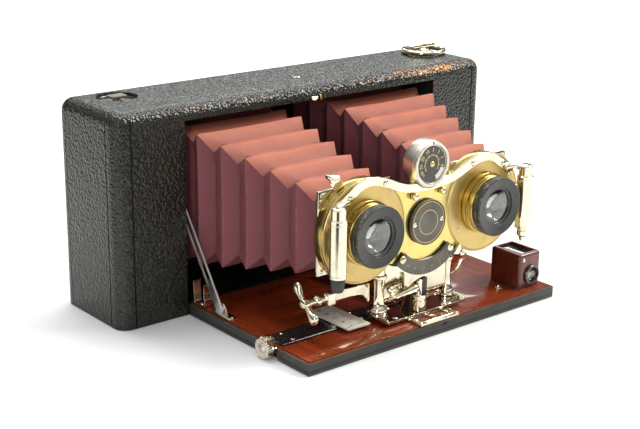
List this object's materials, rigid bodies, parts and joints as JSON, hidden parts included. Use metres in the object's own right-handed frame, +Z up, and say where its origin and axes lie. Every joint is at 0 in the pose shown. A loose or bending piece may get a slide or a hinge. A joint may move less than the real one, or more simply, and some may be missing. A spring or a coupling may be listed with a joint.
{
  "type": "folding stereo roll-film camera",
  "caption": "Leather-covered folding camera with a wooden drop bed, paired red bellows, a brass shutter with paired lenses, and a removable back.",
  "frame": {"origin": "centre of the body's flat underside, on the resting plane", "axes": "+X along the body's long side, -Y towards the subject (lens side), +Z up"},
  "size_m": [0.254, 0.1578, 0.1186],
  "materials": {
    "black_leather": "pebbled grain, worn at the edges",
    "mahogany": "polished",
    "red_bellows_leather": "matt, pleated",
    "brass": "satin, lacquered",
    "nickel": "polished nickel plate",
    "black_enamel": "semi-gloss",
    "glass": "polished",
    "mirror": "silvered",
    "rubber": "matt",
    "ruby_glass": "polished",
    "backing_paper": "matt paper"
  },
  "bodies": {
    "camera_body": {"body_shell": "black_leather", "film_gate": "black_enamel", "key_socket": "nickel", "bed_board": "mahogany", "bed_leather": "black_leather", "bed_hinge_pin": "nickel", "tripod_bush": "brass", "strut_arm_left": "nickel", "strut_arm_right": "nickel", "strut_stud_left": "nickel", "strut_stud_right": "nickel", "strut_bracket_left": "nickel", "strut_bracket_right": "nickel", "pinion_cover": "black_enamel", "distance_scale": "nickel", "finder_box": "mahogany", "finder_lens_ring": "black_enamel", "finder_lens": "glass", "finder_glass": "glass", "finder_mirror": "mirror", "bellows_left": "red_bellows_leather", "bellows_right": "red_bellows_leather"},
    "back_cover": {"back_cover": "black_leather", "ruby_window": "ruby_glass"},
    "window_cover": {"window_cover": "nickel"},
    "supply_spool": {"supply_spool": "backing_paper"},
    "take_up": {"take_up_spool": "backing_paper", "winding_key": "nickel"},
    "spool_pull_key": {"spool_pull_key": "nickel"},
    "bed_latch": {"latch_button": "nickel"},
    "strut_catch_left": {"strut_catch_left": "nickel"},
    "strut_catch_right": {"strut_catch_right": "nickel"},
    "focus_knob": {"focus_knob": "nickel"},
    "focus_track": {"focus_track": "nickel"},
    "front_standard": {"carriage_base": "nickel", "clamp_bracket": "nickel", "post_left": "nickel", "post_right": "nickel", "bellows_plate_left": "nickel", "bellows_plate_right": "nickel", "shutter_case": "brass", "top_band": "nickel", "cylinder_left": "nickel", "cylinder_right": "nickel", "hose_nozzle": "rubber", "lens_barrel_left": "brass", "lens_barrel_right": "brass", "lens_ring_left": "black_enamel", "lens_ring_right": "black_enamel", "lens_left": "glass", "lens_right": "glass", "name_disc": "black_enamel", "aperture_scale": "black_enamel"},
    "clamp_lever": {"clamp_lever": "nickel"},
    "rail_catch_lever": {"rail_catch_lever": "nickel"},
    "speed_dial": {"speed_dial": "nickel"},
    "aperture_pointer": {"aperture_pointer": "nickel"},
    "release_lever": {"release_lever": "nickel"},
    "shutter_blade_left": {"shutter_blade_left": "black_enamel"},
    "shutter_blade_right": {"shutter_blade_right": "black_enamel"}
  },
  "joints": [
    {"name": "standard_slide", "type": "slide", "parent": "focus_track", "child": "front_standard", "axis": [0, 1, 0], "range_m": [0, 0.1], "deforming": ["bellows_left", "bellows_right"]},
    {"name": "focus_slide", "type": "slide", "parent": "camera_body", "child": "focus_track", "axis": [0, 1, 0], "range_m": [0, 0.008], "deforming": ["bellows_left", "bellows_right"]},
    {"name": "focus_turn", "type": "hinge", "parent": "camera_body", "child": "focus_knob", "pos_m": [-0.088, -0.0976, 0.0055], "axis": [1, 0, 0], "range_deg": [-190, 5]},
    {"name": "back_cover_lift", "type": "slide", "parent": "camera_body", "child": "back_cover", "axis": [0, 1, 0], "range_m": [0, 0.06]},
    {"name": "window_cover_swing", "type": "hinge", "parent": "back_cover", "child": "window_cover", "pos_m": [0.041, 0.0292, 0.0721], "axis": [0, 1, 0], "range_deg": [0, 110]},
    {"name": "film_wind", "type": "hinge", "parent": "camera_body", "child": "take_up", "pos_m": [0.1105, 0.0054, 0.05], "axis": [0, 0, 1], "continuous": true},
    {"name": "supply_spin", "type": "hinge", "parent": "camera_body", "child": "supply_spool", "pos_m": [-0.1025, 0.0095, 0.05], "axis": [0, 0, 1], "continuous": true},
    {"name": "pull_key_slide", "type": "slide", "parent": "camera_body", "child": "spool_pull_key", "axis": [0, 0, 1], "range_m": [0, 0.007]},
    {"name": "latch_press", "type": "slide", "parent": "camera_body", "child": "bed_latch", "axis": [0, 0, -1], "range_m": [0, 0.0015]},
    {"name": "strut_catch_flex_left", "type": "hinge", "parent": "camera_body", "child": "strut_catch_left", "pos_m": [-0.0825, -0.0411, 0.0069], "axis": [1, 0, 0], "range_deg": [0, 6]},
    {"name": "strut_catch_flex_right", "type": "hinge", "parent": "camera_body", "child": "strut_catch_right", "pos_m": [0.0825, -0.0411, 0.0069], "axis": [1, 0, 0], "range_deg": [0, 6]},
    {"name": "clamp_turn", "type": "hinge", "parent": "front_standard", "child": "clamp_lever", "pos_m": [-0.065, -0.1059, 0.0262], "axis": [1, 0, 0], "range_deg": [0, 70]},
    {"name": "rail_catch_turn", "type": "hinge", "parent": "front_standard", "child": "rail_catch_lever", "pos_m": [-0.0029, -0.1146, 0.012], "axis": [0, 0, 1], "range_deg": [0, 35]},
    {"name": "speed_dial_turn", "type": "hinge", "parent": "front_standard", "child": "speed_dial", "pos_m": [0, -0.113, 0.0868], "axis": [0, 1, 0], "range_deg": [0, 270]},
    {"name": "aperture_turn", "type": "hinge", "parent": "front_standard", "child": "aperture_pointer", "pos_m": [0, -0.1158, 0.0565], "axis": [0, 1, 0], "range_deg": [0, 96]},
    {"name": "release_press", "type": "hinge", "parent": "front_standard", "child": "release_lever", "pos_m": [-0.041, -0.1098, 0.0591], "axis": [0, 1, 0], "range_deg": [0, 14]},
    {"name": "blade_swing_left", "type": "hinge", "parent": "front_standard", "child": "shutter_blade_left", "pos_m": [-0.0275, -0.1092, 0.0591], "axis": [0, 1, 0], "range_deg": [0, 60]},
    {"name": "blade_swing_right", "type": "hinge", "parent": "front_standard", "child": "shutter_blade_right", "pos_m": [0.0275, -0.1092, 0.0591], "axis": [0, 1, 0], "range_deg": [-60, 0]}
  ],
  "couplings": [
    {"joint": "focus_turn", "follows": "focus_slide", "rad_per_m": -384.62},
    {"joint": "supply_spin", "follows": "film_wind", "ratio": 1},
    {"joint": "blade_swing_left", "follows": "release_press", "ratio": 4.2},
    {"joint": "blade_swing_right", "follows": "release_press", "ratio": -4.2}
  ]
}
